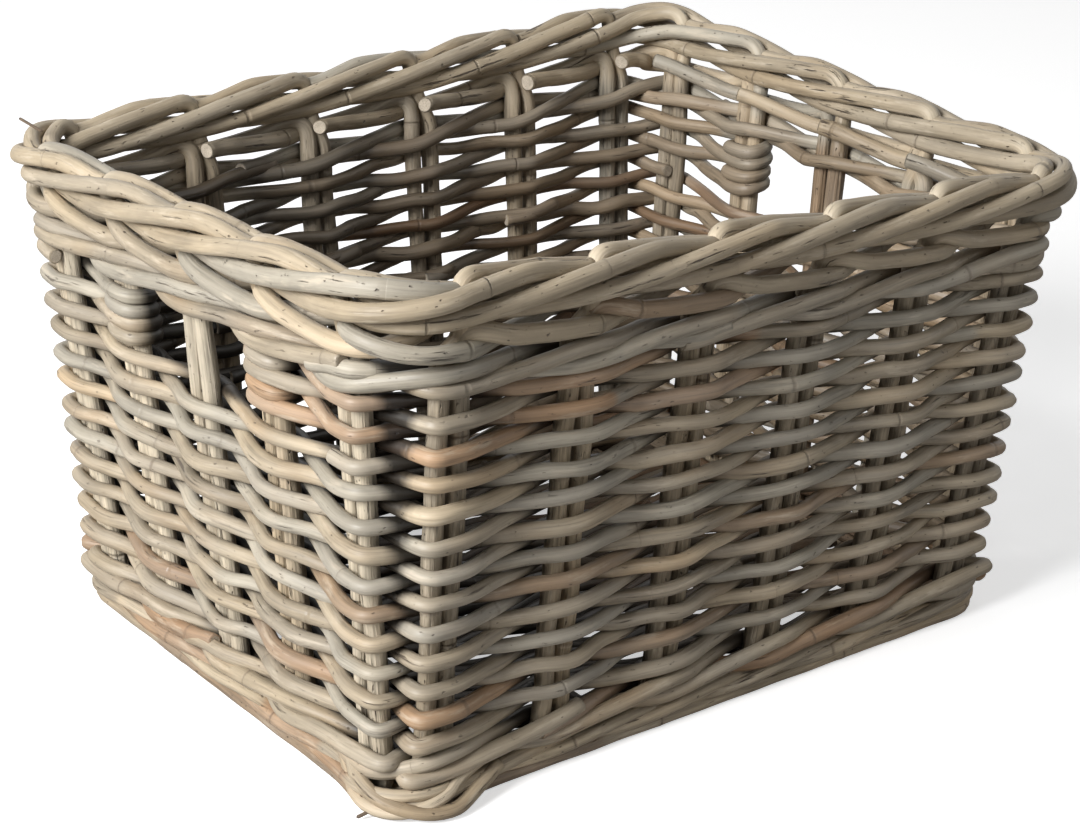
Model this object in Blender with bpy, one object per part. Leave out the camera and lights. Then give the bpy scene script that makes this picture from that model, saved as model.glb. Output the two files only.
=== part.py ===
# Rectangular cane basket: paired stakes, plain woven walls, two hand holes,
# a rope border rolled from the stake ends, a foot and a woven base.
# X runs along the long sides, Y along the short ends, Z up, floor at zero.
import math
import bpy

# Form of the wall, on the line where the stakes stand
TOP_HALF_LENGTH = 0.191
TOP_HALF_WIDTH = 0.153
TOP_CORNER_RADIUS = 0.021
BASE_HALF_LENGTH = 0.172
BASE_HALF_WIDTH = 0.1315
BASE_CORNER_RADIUS = 0.017

# Border: height of its middle, how far it hangs outside the stakes, how the basket has settled
RIM_HEIGHT = 0.235
RIM_OVERHANG = 0.005
RIM_TWIST = 0.0065
RIM_SAG = 0.001
ROPE_CANE_DIAMETER = 0.0070
ROPE_LAY_RADIUS = 0.0082

# Stakes: each is one cane bent double at the foot, so that two rods rise side by side
STAKE_DIAMETER = 0.0078
STAKE_SPACING = 0.010
STAKE_TOP_STAND = 0.021
STAKE_BASE_STAND = 0.013
STAKE_SHOW = 0.0156
TAIL_STOP = 0.012
TAIL_RISE_SHARE = 0.62
TAIL_LEAD_SHARE = 0.22

# Swoops: the second rod of a pair passes outside the next pair and ends inside the one after
SWOOP_DIAMETER = 0.0064
SWOOP_GAP = 0.0017
SWOOP_DROP = 0.0012
SWOOP_RUN = 0.007
SWOOP_END = 0.004
SWOOP_LEAVE_SHARE = 0.72
SWOOP_PEAK_SHARE = 0.70
SWOOP_LEAN_SHARE = 0.06
SWOOP_WRAP = 0.0055
SWOOP_WRAP_SHARE = 0.70

# Weaving canes
CANE_DIAMETER = 0.0064
ROW_GAP = 0.0004
WALE_DIAMETER = 0.0066
WALE_STEP = 0.0074
WALE_GAP = 0.0008
WALE_CLEARANCE = 0.0015
BUTT_GAP = 0.0018
HAND_HOLE_HEIGHT = 0.036

# Foot and base
FOOT_HEIGHT = 0.008
FOOT_WIDTH = 0.0070
STICK_DIAMETER = 0.0054
BASE_CANE_WIDTH = 0.0126
BASE_CANE_THICKNESS = 0.0054
BASE_CANE_GAP = 0.0009

# Air left between canes that touch
SEAT_GAP = 0.0003

# Counts
LONG_SIDE_PAIRS = 6
SHORT_SIDE_PAIRS = 5
PAIRS_PER_TURN = 5
TURN_KINKS = 3
OPENING_SHIFT = 3

# Shares and limits
OUTER_CORNER_SHARES = (-2 / 3, 0, 2 / 3)
INNER_CORNER_SHARES = (-1, -1 / 3, 1 / 3, 1)
BASE_END_SHARE = 0.1
PARALLEL_SHARE = 0.000001

STAKE_RADIUS = STAKE_DIAMETER / 2
CANE_RADIUS = CANE_DIAMETER / 2
WALE_RADIUS = WALE_DIAMETER / 2
ROPE_CANE_RADIUS = ROPE_CANE_DIAMETER / 2
SWOOP_RADIUS = SWOOP_DIAMETER / 2
STICK_RADIUS = STICK_DIAMETER / 2
PAIR_COUNT = 2 * (LONG_SIDE_PAIRS + SHORT_SIDE_PAIRS)

# Heights, from the foot up and from the border down
STICK_Z = FOOT_HEIGHT + SEAT_GAP + STICK_RADIUS
LOWER_WALE_Z = STICK_Z + STICK_RADIUS + SEAT_GAP + WALE_RADIUS
FIRST_ROW_Z = LOWER_WALE_Z + WALE_STEP + WALE_RADIUS + CANE_RADIUS + ROW_GAP
ROPE_RADIUS = ROPE_LAY_RADIUS + ROPE_CANE_RADIUS
STAKE_TOP_Z = RIM_HEIGHT - ROPE_RADIUS - STAKE_SHOW
UPPER_WALE_Z = STAKE_TOP_Z - WALE_CLEARANCE - WALE_RADIUS - WALE_STEP
SWOOP_LOW_Z = STAKE_TOP_Z - WALE_CLEARANCE + 2 * SEAT_GAP + SWOOP_RADIUS
SWOOP_PEAK_Z = RIM_HEIGHT - ROPE_RADIUS - SEAT_GAP - SWOOP_RADIUS
LAST_ROW_Z = UPPER_WALE_Z - WALE_RADIUS - CANE_RADIUS - ROW_GAP
HOLE_SILL_Z = UPPER_WALE_Z - WALE_RADIUS - HAND_HOLE_HEIGHT

ROW_COUNT = 1 + int((LAST_ROW_Z - FIRST_ROW_Z) / (CANE_DIAMETER + ROW_GAP))
ROW_PITCH = (LAST_ROW_Z - FIRST_ROW_Z) / (ROW_COUNT - 1)

# Wear and finish: colour, roughness
FINISHES = {
    "stake_cane": ((0.36, 0.30, 0.23), 0.72),
    "grey_cane": ((0.33, 0.30, 0.27), 0.78),
    "straw_cane": ((0.52, 0.44, 0.32), 0.70),
    "red_brown_cane": ((0.42, 0.27, 0.17), 0.68),
    "foot_cane": ((0.22, 0.18, 0.14), 0.80),
}
ROW_FINISHES = (
    "grey_cane",
    "grey_cane",
    "straw_cane",
    "grey_cane",
    "straw_cane",
    "grey_cane",
    "red_brown_cane",
)


def clear_scene():
    for old in list(bpy.data.objects):
        bpy.data.objects.remove(old, do_unlink=True)


def make_collection(name):
    collection = bpy.data.collections.new(name)
    bpy.context.scene.collection.children.link(collection)
    return collection


def make_finish(name):
    """One Principled material for one finish of cane."""
    colour, roughness = FINISHES[name]
    material = bpy.data.materials.new(name)
    material.use_nodes = True
    shader = material.node_tree.nodes["Principled BSDF"]
    shader.inputs["Base Color"].default_value = (*colour, 1.0)
    shader.inputs["Roughness"].default_value = roughness
    shader.inputs["Metallic"].default_value = 0.0
    return material


# The wall: a rounded rectangle that widens with height

def between(low, high, share):
    return low + (high - low) * share


def wall_sizes(z):
    """Half length, half width and corner radius of the stake line at height z."""
    share = z / RIM_HEIGHT
    half_length = between(BASE_HALF_LENGTH, TOP_HALF_LENGTH, share)
    half_width = between(BASE_HALF_WIDTH, TOP_HALF_WIDTH, share)
    radius = between(BASE_CORNER_RADIUS, TOP_CORNER_RADIUS, share)
    return half_length, half_width, radius


def side_reach(half, radius):
    """Length along the wall from the middle of a side to the middle of its corner."""
    return half - radius + radius * math.pi / 4


def wall_point(travel, z, offset):
    """Plan point at a length of travel along the wall, offset outwards from the stake line.

    Travel starts in the middle of the right end and runs counterclockwise seen from above.
    """
    half_length, half_width, radius = wall_sizes(z)
    arc = radius * math.pi / 2
    runs = [half_width - radius, half_length - radius, half_width - radius, half_length - radius]
    total = 4 * arc + 2 * sum(runs)
    left = travel % total
    for quarter in range(5):
        run = runs[quarter % 4] if quarter in (0, 4) else 2 * runs[quarter]
        turn = quarter * math.pi / 2
        along = left - (0 if quarter == 0 else runs[quarter % 4])
        if left <= run or quarter == 4:
            across = half_length if quarter % 2 == 0 else half_width
            return spin(across + offset, along, turn)
        left -= run
        if left <= arc:
            angle = left / radius
            corner_x = half_length - radius if quarter % 2 == 0 else half_width - radius
            corner_y = runs[quarter]
            reach = radius + offset
            return spin(corner_x + reach * math.cos(angle), corner_y + reach * math.sin(angle), turn)
        left -= arc


def spin(x, y, turn):
    """Turn a plan point about the origin."""
    return (x * math.cos(turn) - y * math.sin(turn), x * math.sin(turn) + y * math.cos(turn))


def settle(x, y, z):
    """Lift two opposite corners, drop the other two and let the middles of the sides sag.

    The change grows from nothing at the foot to its full size at the border.
    """
    share = max(z - FOOT_HEIGHT, 0) / (RIM_HEIGHT - FOOT_HEIGHT)
    across = (x / TOP_HALF_LENGTH) * (y / TOP_HALF_WIDTH)
    return (x, y, z + share * (RIM_TWIST * across - RIM_SAG * (1 - min(across * across, 1))))


# The stakes

def corner_side_reaches(z):
    half_length, half_width, radius = wall_sizes(z)
    return side_reach(half_width, radius), side_reach(half_length, radius)


def corner_middles(z):
    """Travel to the middle of each corner at height z."""
    short_reach, long_reach = corner_side_reaches(z)
    middles = [short_reach, short_reach + 2 * long_reach]
    return middles + [2 * (short_reach + long_reach) + middle for middle in middles]


def corner_stand(z):
    """How far the last pair of a side stands from the middle of the corner."""
    return between(STAKE_BASE_STAND, STAKE_TOP_STAND, z / RIM_HEIGHT)


def pair_travel(pair, z):
    """Travel along the wall to the middle of a stake pair at height z."""
    reaches = corner_side_reaches(z)
    half, place = divmod(pair + SHORT_SIDE_PAIRS // 2, PAIR_COUNT // 2)
    start = 2 * half * sum(reaches) - reaches[0]
    if place < SHORT_SIDE_PAIRS:
        reach, count = reaches[0], SHORT_SIDE_PAIRS
    else:
        start += 2 * reaches[0]
        reach, count = reaches[1], LONG_SIDE_PAIRS
        place -= SHORT_SIDE_PAIRS
    stand = corner_stand(z)
    return start + stand + place * 2 * (reach - stand) / (count - 1)


def is_corner_pair(pair):
    """True for the eight pairs that stand beside a corner."""
    half_short = SHORT_SIDE_PAIRS // 2
    place = (pair + half_short) % (PAIR_COUNT // 2)
    return place in (0, SHORT_SIDE_PAIRS - 1, SHORT_SIDE_PAIRS, PAIR_COUNT // 2 - 1)


def rod_foot_z():
    """Height at which a rod leaves the bend at its foot."""
    return bend_centre_z() - (STAKE_SPACING / 2) * math.tan(math.pi / 6)


def bend_centre_z():
    return STAKE_RADIUS + (STAKE_SPACING / 2) / math.cos(math.pi / 6) + 2 * SEAT_GAP


def rod_point(pair, side, z):
    """Plan point of one rod of a pair: side is -1 for the first rod, 1 for the second."""
    low_z = rod_foot_z()
    low = wall_point(pair_travel(pair, low_z) + side * STAKE_SPACING / 2, low_z, 0)
    high = wall_point(pair_travel(pair, STAKE_TOP_Z) + side * STAKE_SPACING / 2, STAKE_TOP_Z, 0)
    share = (z - low_z) / (STAKE_TOP_Z - low_z)
    return (between(low[0], high[0], share), between(low[1], high[1], share))


# The rope border: helices that all share one twist, the same part of a turn for each step

def rope_steps():
    """Travel of each step round the border: steps are even between the corners' middles.

    The first and the last step of a side are halved, so that the rope bends round its corners.
    Each entry is the travel and the number of whole steps made by then.
    """
    short_reach, long_reach = corner_side_reaches(RIM_HEIGHT)
    steps = []
    start = -short_reach
    made = -SHORT_SIDE_PAIRS
    for side in range(4):
        reach, count = (short_reach, SHORT_SIDE_PAIRS) if side % 2 == 0 else (long_reach, LONG_SIDE_PAIRS)
        for number in sorted([*range(2 * count), 0.5, 2 * count - 0.5]):
            steps.append((start + number * reach / count, made + number))
        start += 2 * reach
        made += 2 * count
    steps.append((start, made))
    return steps


ROPE_STEPS = rope_steps()
ROPE_LENGTH = ROPE_STEPS[-1][0] - ROPE_STEPS[0][0]
ROPE_STEP_COUNT = ROPE_STEPS[-1][1] - ROPE_STEPS[0][1]
STEP_TURN = 2 * math.pi / (2 * PAIRS_PER_TURN)


def rope_turn(travel):
    """How far the rope has turned at a length of travel, counted from the right end's middle."""
    lap, left = divmod(travel - ROPE_STEPS[0][0], ROPE_LENGTH)
    place = ROPE_STEPS[0][0] + left
    for (low, low_made), (high, high_made) in zip(ROPE_STEPS, ROPE_STEPS[1:]):
        if place <= high:
            share = (place - low) / (high - low)
            return STEP_TURN * (lap * ROPE_STEP_COUNT + between(low_made, high_made, share))


def steps_between(first, last):
    """Travel of every rope step that lies between two lengths of travel."""
    found = []
    for lap in range(-1, 3):
        for step, _ in ROPE_STEPS[:-1]:
            travel = step + lap * ROPE_LENGTH
            if first < travel < last:
                found.append(travel)
    return found


def rope_point(travel, angle):
    """A point on the lay radius: angle runs from outwards, through up, to inwards."""
    offset = RIM_OVERHANG + ROPE_LAY_RADIUS * math.cos(angle)
    x, y = wall_point(travel, RIM_HEIGHT, offset)
    return (x, y, RIM_HEIGHT + ROPE_LAY_RADIUS * math.sin(angle))


def tail_points(pair):
    """The first rod's end: it leaves the wall under the border and turns once round with the rope."""
    slot = -math.pi / 2 + TAIL_LEAD_SHARE * STEP_TURN
    rise = pair_travel(pair, RIM_HEIGHT) - STAKE_SPACING / 2
    stop = pair_travel(pair + PAIRS_PER_TURN, RIM_HEIGHT) - STAKE_SPACING / 2 - TAIL_STOP

    def angle_at(travel):
        return slot + rope_turn(travel) - 2 * STEP_TURN * pair

    top_x, top_y = rod_point(pair, -1, STAKE_TOP_Z)
    join = rise + STAKE_SPACING
    joined = rope_point(join, angle_at(join))
    lift = between(STAKE_TOP_Z, joined[2], TAIL_RISE_SHARE)
    elbow = wall_point(pair_travel(pair, lift) - STAKE_SPACING / 2, lift, 0)
    points = [((top_x, top_y, STAKE_TOP_Z), STAKE_RADIUS), ((*elbow, lift), STAKE_RADIUS)]
    points.append((joined, ROPE_CANE_RADIUS))
    for travel in steps_between(join + ROPE_CANE_RADIUS, stop - ROPE_CANE_RADIUS):
        points.append((rope_point(travel, angle_at(travel)), ROPE_CANE_RADIUS))
    points.append((rope_point(stop, angle_at(stop)), ROPE_CANE_RADIUS))
    return points


def swoop_points(pair):
    """The second rod's end: it rises, drops past the outside of the next pair and ends inside the one after.

    A station is a pair, a length along the wall from it, a height, an offset and a radius.
    """
    half = STAKE_SPACING / 2
    reach = STAKE_RADIUS + SWOOP_GAP + SWOOP_RADIUS
    leave_z = between(STAKE_TOP_Z, SWOOP_PEAK_Z, SWOOP_LEAVE_SHARE)
    stations = [
        (pair, half, STAKE_TOP_Z, 0, STAKE_RADIUS),
        (pair, half, leave_z, reach * SWOOP_LEAN_SHARE, STAKE_RADIUS),
        (pair, half + SWOOP_RUN, SWOOP_PEAK_Z, reach * SWOOP_PEAK_SHARE, SWOOP_RADIUS),
        (pair + 1, -half, SWOOP_LOW_Z + 2 * SWOOP_DROP, reach, SWOOP_RADIUS),
        (pair + 1, half, SWOOP_LOW_Z + SWOOP_DROP, reach, SWOOP_RADIUS),
        (pair + 2, -half, SWOOP_LOW_Z, -reach, SWOOP_RADIUS),
        (pair + 2, half + SWOOP_END, SWOOP_LOW_Z, -reach, SWOOP_RADIUS),
    ]
    points = []
    for number, (place, along, z, offset, radius) in enumerate(stations):
        if number:
            points.extend(corner_points(stations[number - 1], stations[number]))
        points.append(((*wall_point(pair_travel(place, z) + along, z, offset), z), radius))
    return points


def corner_points(before, after):
    """The point that a swoop needs when a corner lies between two stations.

    It is at the corner's middle, or just past the outer rod where the swoop turns inwards there.
    """
    middle_z = between(before[2], after[2], 0.5)
    low = pair_travel(before[0], middle_z) + before[1]
    high = pair_travel(after[0], middle_z) + after[1]
    whole = 4 * sum(corner_side_reaches(middle_z))
    for corner in corner_middles(middle_z):
        distance = (corner - low) % whole
        if distance < high - low:
            share = distance / (high - low)
            if before[3] * after[3] < 0:
                z = between(before[2], after[2], SWOOP_WRAP / (high - low))
                turn_in = wall_point(low + SWOOP_WRAP, z, before[3] * SWOOP_WRAP_SHARE)
                return [((*turn_in, z), before[4])]
            z, offset, radius = (between(before[place], after[place], share) for place in (2, 3, 4))
            return [((*wall_point(low + distance, middle_z, offset), z), radius)]
    return []


def foot_bend_points(pair):
    """The bend at the foot, where the cane turns from one rod into the other."""
    low_z = rod_foot_z()
    first = rod_point(pair, -1, low_z)
    second = rod_point(pair, 1, low_z)
    middle = (between(first[0], second[0], 0.5), between(first[1], second[1], 0.5))
    lowest = bend_centre_z() - (STAKE_SPACING / 2) / math.cos(math.pi / 6)
    places = [(*first, low_z), (*middle, lowest), (*second, low_z)]
    return [(place, STAKE_RADIUS) for place in places]


def stake_points(pair):
    return tail_points(pair)[::-1] + foot_bend_points(pair) + swoop_points(pair)


# Weaving: a taut line drawn round the rods, on one side of a pair and then on the other

def tangent(first, second, reach):
    """The line that passes two rods at the given reach: a point on it and its direction.

    A rod is (x, y, side, z), where side is 1 for outside and -1 for inside.
    """
    across_x = second[0] - first[0]
    across_y = second[1] - first[1]
    apart = math.hypot(across_x, across_y)
    lean = math.asin((first[2] - second[2]) * reach / apart)
    heading = math.atan2(across_y, across_x) + lean
    point = (first[0] + first[2] * reach * math.sin(heading), first[1] - first[2] * reach * math.cos(heading))
    return point, (math.cos(heading), math.sin(heading))


def crossing(first, second):
    """Where two lines meet in plan."""
    (x1, y1), (u1, v1) = first
    (x2, y2), (u2, v2) = second
    spread = u1 * v2 - v1 * u2
    if abs(spread) < PARALLEL_SHARE:
        return (x2, y2)
    share = ((x2 - x1) * v2 - (y2 - y1) * u2) / spread
    return (x1 + share * u1, y1 + share * v1)


def taut_points(rods, reach, whole_ring):
    """Corners of the taut line past a list of rods; each keeps the height of its rod.

    A rod marked as light is passed over: the lines on its two sides meet in one corner.
    """
    count = len(rods)
    lines = []
    last = count if whole_ring else count - 1
    for number in range(last):
        first, second = rods[number], rods[(number + 1) % count]
        if not (first[4] and second[4] and first[5] == second[5]):
            lines.append((tangent(first, second, reach), first, second))
    corners = []
    for number in range(len(lines) if whole_ring else len(lines) - 1):
        before = lines[number - 1 if whole_ring else number]
        after = lines[number if whole_ring else number + 1]
        height = (before[2][3] + after[1][3]) / 2
        corners.append((*crossing(before[0], after[0]), height))
    return corners, lines


def pair_rods(pair, side, low, high, light):
    """The two rods of a pair as the weaver meets them, the first at one height, the second at another."""
    first = rod_point(pair, -1, low)
    second = rod_point(pair, 1, high)
    return [(*first, side, low, light, pair), (*second, side, high, light, pair)]


def row_height(row):
    return FIRST_ROW_Z + row * ROW_PITCH


def row_side(row, pair):
    return 1 if (row + pair) % 2 == 0 else -1


def row_rods(row, pairs):
    """Rods along a row: a pair away from the corners that is passed inside takes one bend, not two."""
    rods = []
    for pair in pairs:
        side = row_side(row, pair)
        light = side < 0 and not is_corner_pair(pair)
        rods.extend(pair_rods(pair, side, row_height(row), row_height(row), light))
    return rods


def open_ring(corners, first_corner):
    """Open a ring at one corner and hold the two cut ends a little apart."""
    turned = corners[first_corner:] + corners[:first_corner]
    head = drawn_back(turned[0], turned[1], BUTT_GAP)
    tail = drawn_back(turned[0], turned[-1], BUTT_GAP)
    return [head] + turned[1:] + [tail]


def drawn_back(start, towards, gap):
    """The point at a short gap from start, on the way to another point."""
    length = math.dist(start, towards)
    share = gap / length
    return tuple(between(start[axis], towards[axis], share) for axis in range(3))


def ring_row_points(row):
    """A whole row, opened behind a pair that differs from row to row."""
    reach = STAKE_RADIUS + CANE_RADIUS + SEAT_GAP
    rods = row_rods(row, range(PAIR_COUNT))
    corners, _ = taut_points(rods, reach, True)
    light_pairs = [pair for pair in range(PAIR_COUNT) if row_side(row, pair) < 0 and not is_corner_pair(pair)]
    opened = light_pairs[(OPENING_SHIFT * row) % len(light_pairs)]
    target = rod_point(opened, -1, row_height(row))
    nearest = min(range(len(corners)), key=lambda number: math.dist(corners[number][:2], target))
    return open_ring(corners, nearest)


def loop_points(rod, next_rod, side, heights, reach, heading):
    """The turn round the last rod beside a hand hole, from one face of the wall to the other."""
    points = []
    wide = reach / math.cos(math.pi / (2 * TURN_KINKS))
    for kink in range(TURN_KINKS):
        share = (kink + 0.5) / TURN_KINKS
        angle = heading + side * (math.pi / 2 - share * math.pi)
        x = between(rod[0], next_rod[0], share) + wide * math.cos(angle)
        y = between(rod[1], next_rod[1], share) + wide * math.sin(angle)
        points.append((x, y, between(*heights, share)))
    return points


def snake_points(first_pair, pair_span, rows):
    """A cane that weaves to and fro between two hand holes, turning back round their side pairs."""
    reach = STAKE_RADIUS + CANE_RADIUS + SEAT_GAP
    pairs = [first_pair + number for number in range(pair_span)]
    points = []
    for number, row in enumerate(rows):
        rods = row_rods(row, pairs)
        rods[0:2] = pair_rods(pairs[0], row_side(row, pairs[0]), row_height(row), row_height(row), False)
        rods[-2:] = pair_rods(pairs[-1], row_side(row, pairs[-1]), row_height(row), row_height(row), False)
        corners, lines = taut_points(rods, reach, False)
        forward = number % 2 == 0
        start_line, end_line = lines[0][0], lines[-1][0]
        if number == 0:
            points.append((*start_line[0], row_height(row)))
        points.extend(corners if forward else corners[::-1])
        if row != rows[-1]:
            rod, last_pair, last_side = (rods[-1], pairs[-1], 1) if forward else (rods[0], pairs[0], -1)
            next_rod = rod_point(last_pair, last_side, row_height(row + 1))
            along = end_line[1] if forward else (-start_line[1][0], -start_line[1][1])
            heading = math.atan2(along[1], along[0])
            side = -rod[2] if forward else rod[2]
            heights = (row_height(row), row_height(row + 1))
            points.extend(loop_points(rod, next_rod, side, heights, reach, heading))
        else:
            end_x = rods[-1][0] + rods[-1][2] * reach * end_line[1][1]
            end_y = rods[-1][1] - rods[-1][2] * reach * end_line[1][0]
            points.append((end_x, end_y, row_height(row)))
    return points


def wale_points(low_z, strand):
    """One of two twined canes: it steps up as it passes outside a pair and down inside the next."""
    reach = STAKE_RADIUS + WALE_RADIUS + WALE_GAP
    high_z = low_z + WALE_STEP
    rods = []
    for pair in range(PAIR_COUNT):
        outside = (pair + strand) % 2 == 0
        first, second = (low_z, high_z) if outside else (high_z, low_z)
        rods.extend(pair_rods(pair, 1 if outside else -1, first, second, False))
    corners, _ = taut_points(rods, reach, True)
    return corners


def foot_ring_points(offset, corner_shares, widening):
    """A level ring under the wall: straight sides and rounded corners.

    Widening sets a corner's points outside its round, so that the flats between them clear the stakes.
    """
    z = rod_foot_z()
    radius = wall_sizes(z)[2]
    points = []
    for travel in corner_middles(z):
        for share in corner_shares:
            reach = (radius + offset) * widening
            point = wall_point(travel + share * radius * math.pi / 4, z, reach - radius)
            points.append((*point, FOOT_HEIGHT / 2))
    return points


def stick_travel_x(number):
    """X of a base stick: midway between two pairs of the long side."""
    first = rod_point(SHORT_SIDE_PAIRS // 2 + 1 + number, 1, STICK_Z)
    second = rod_point(SHORT_SIDE_PAIRS // 2 + 2 + number, -1, STICK_Z)
    return (first[0] + second[0]) / 2


def base_weave_points():
    """A double cane laid to and fro along the base, over one stick and under the next."""
    inner_reach = STAKE_RADIUS + SEAT_GAP + FOOT_WIDTH + SEAT_GAP
    half_room = BASE_HALF_WIDTH - inner_reach - BASE_CANE_WIDTH / 2 - SEAT_GAP
    end_x = BASE_HALF_LENGTH - inner_reach - BASE_CANE_WIDTH / 2 - BASE_CORNER_RADIUS * BASE_END_SHARE
    passes = 1 + int(2 * half_room / (BASE_CANE_WIDTH + BASE_CANE_GAP))
    pitch = 2 * half_room / (passes - 1)
    sticks = [stick_travel_x(number) for number in range(LONG_SIDE_PAIRS - 1)][::-1]
    rise = STICK_RADIUS + BASE_CANE_THICKNESS / 2 + SEAT_GAP
    slope = math.atan(2 * rise / abs(sticks[1] - sticks[0]))
    lift = rise / math.cos(slope)
    points = []
    for number in range(passes):
        y = -half_room + number * pitch
        order = sticks if number % 2 == 0 else sticks[::-1]
        start = -end_x if number % 2 == 0 else end_x
        points.append((start, y, STICK_Z))
        for place, x in enumerate(order):
            index = place if number % 2 == 0 else len(order) - 1 - place
            side = 1 if (index + number) % 2 == 0 else -1
            points.append((x, y, STICK_Z + side * lift))
        points.append((-start, y, STICK_Z))
    return points


# Building

def make_cane(name, points, radii, finish, collection, closed=False, profile=None, level=False):
    """One cane: a curve through its points, round or with a profile, with closed ends."""
    curve = bpy.data.curves.new(name, "CURVE")
    curve.dimensions = "3D"
    curve.twist_mode = "Z_UP" if level else "MINIMUM"
    curve.render_resolution_u = 0
    widest = max(radii)
    if profile is None:
        curve.bevel_depth = widest
        curve.bevel_resolution = 0
    else:
        curve.bevel_mode = "OBJECT"
        curve.bevel_object = profile
    curve.use_fill_caps = not closed
    spline = curve.splines.new("POLY")
    spline.points.add(len(points) - 1)
    for number, point in enumerate(points):
        spline.points[number].co = (*point, 1.0)
        spline.points[number].radius = radii[number] / widest
    spline.use_cyclic_u = closed
    curve.materials.append(finish)
    cane = bpy.data.objects.new(name, curve)
    collection.objects.link(cane)
    return cane


def make_profile(name, width, height, collection):
    """A rectangular section for a cane that is flat or laid double."""
    curve = bpy.data.curves.new(name, "CURVE")
    curve.dimensions = "2D"
    spline = curve.splines.new("POLY")
    spline.points.add(3)
    for number, (across, up) in enumerate(((-1, -1), (-1, 1), (1, 1), (1, -1))):
        spline.points[number].co = (across * width / 2, up * height / 2, 0.0, 1.0)
    spline.use_cyclic_u = True
    profile = bpy.data.objects.new(name, curve)
    profile.hide_render = True
    profile.display_type = "WIRE"
    collection.objects.link(profile)
    return profile


def build_stakes(finishes, collection):
    for pair in range(PAIR_COUNT):
        points = stake_points(pair)
        places = [settle(*point) for point, _ in points]
        radii = [radius for _, radius in points]
        make_cane(f"stake_pair_{pair + 1:02d}", places, radii, finishes["stake_cane"], collection)


def build_rows(finishes, collection):
    """Whole rows below the hand holes."""
    hole_rows = [row for row in range(ROW_COUNT) if row_height(row) > HOLE_SILL_Z]
    for row in range(ROW_COUNT):
        if row in hole_rows:
            continue
        places = [settle(*point) for point in ring_row_points(row)]
        finish = finishes[ROW_FINISHES[row % len(ROW_FINISHES)]]
        radii = [CANE_RADIUS] * len(places)
        make_cane(f"weaver_row_{row + 1:02d}", places, radii, finish, collection, level=True)
    return hole_rows


def build_snakes(hole_rows, finishes, collection):
    """Rows beside the hand holes, one cane for the back wall and one for the front wall."""
    span = LONG_SIDE_PAIRS + 2 * (SHORT_SIDE_PAIRS // 2)
    half_turn = PAIR_COUNT // 2
    for name, first_pair in (("back_wall_weaver", 1), ("front_wall_weaver", 1 + half_turn)):
        places = [settle(*point) for point in snake_points(first_pair, span, hole_rows)]
        make_cane(name, places, [CANE_RADIUS] * len(places), finishes["straw_cane"], collection, level=True)


def build_wales(finishes, collection):
    for name, low_z in (("lower_wale", LOWER_WALE_Z), ("upper_wale", UPPER_WALE_Z)):
        for strand in range(2):
            places = [settle(*point) for point in wale_points(low_z, strand)]
            radii = [WALE_RADIUS] * len(places)
            finish = finishes["grey_cane" if strand else "straw_cane"]
            make_cane(f"{name}_{strand + 1}", places, radii, finish, collection, closed=True, level=True)


def build_foot(finishes, collection, guides):
    """Two flat rings, one outside and one inside the stakes."""
    profile = make_profile("foot_section", FOOT_WIDTH, FOOT_HEIGHT, guides)
    reach = STAKE_RADIUS + SEAT_GAP + FOOT_WIDTH / 2
    widening = 1 / math.cos((OUTER_CORNER_SHARES[1] - OUTER_CORNER_SHARES[0]) * math.pi / 8)
    for name, offset, shares, wider in (
        ("foot_ring_outer", reach, OUTER_CORNER_SHARES, widening),
        ("foot_ring_inner", -reach, INNER_CORNER_SHARES, 1),
    ):
        points = foot_ring_points(offset, shares, wider)
        radii = [1.0] * len(points)
        finish = finishes["foot_cane"]
        make_cane(name, points, radii, finish, collection, closed=True, profile=profile, level=True)


def build_base(finishes, collection, guides):
    """Sticks that rest on the inner foot ring, and the double cane woven through them."""
    for number in range(LONG_SIDE_PAIRS - 1):
        x = stick_travel_x(number)
        points = [(x, -BASE_HALF_WIDTH, STICK_Z), (x, BASE_HALF_WIDTH, STICK_Z)]
        make_cane(f"base_stick_{number + 1}", points, [STICK_RADIUS] * 2, finishes["stake_cane"], collection)
    profile = make_profile("base_cane_section", BASE_CANE_WIDTH, BASE_CANE_THICKNESS, guides)
    points = base_weave_points()
    radii = [1.0] * len(points)
    make_cane("base_weave", points, radii, finishes["grey_cane"], collection, profile=profile, level=True)


def main():
    clear_scene()
    basket = make_collection("toy_basket")
    guides = make_collection("toy_basket_guides")
    finishes = {name: make_finish(name) for name in FINISHES}
    build_stakes(finishes, basket)
    hole_rows = build_rows(finishes, basket)
    build_snakes(hole_rows, finishes, basket)
    build_wales(finishes, basket)
    build_foot(finishes, basket, guides)
    build_base(finishes, basket, guides)


main()
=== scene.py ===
import math
import bpy
import numpy as np
from mathutils import Matrix, Vector


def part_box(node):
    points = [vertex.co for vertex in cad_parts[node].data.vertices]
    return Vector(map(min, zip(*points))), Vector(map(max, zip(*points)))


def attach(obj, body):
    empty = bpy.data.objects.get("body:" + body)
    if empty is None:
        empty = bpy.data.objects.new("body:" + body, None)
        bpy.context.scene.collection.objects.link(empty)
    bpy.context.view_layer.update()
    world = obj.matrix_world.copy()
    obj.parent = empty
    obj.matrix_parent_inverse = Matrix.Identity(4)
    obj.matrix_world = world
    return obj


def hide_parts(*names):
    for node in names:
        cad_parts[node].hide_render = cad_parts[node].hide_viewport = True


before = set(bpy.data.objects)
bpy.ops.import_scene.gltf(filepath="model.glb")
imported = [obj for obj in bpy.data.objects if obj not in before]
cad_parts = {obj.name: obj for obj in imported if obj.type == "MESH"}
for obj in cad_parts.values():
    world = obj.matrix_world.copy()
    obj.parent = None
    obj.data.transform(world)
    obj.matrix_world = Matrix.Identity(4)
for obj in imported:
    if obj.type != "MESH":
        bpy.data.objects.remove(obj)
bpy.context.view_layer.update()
dice = np.random.default_rng(11)
print("frame loaded")

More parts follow.
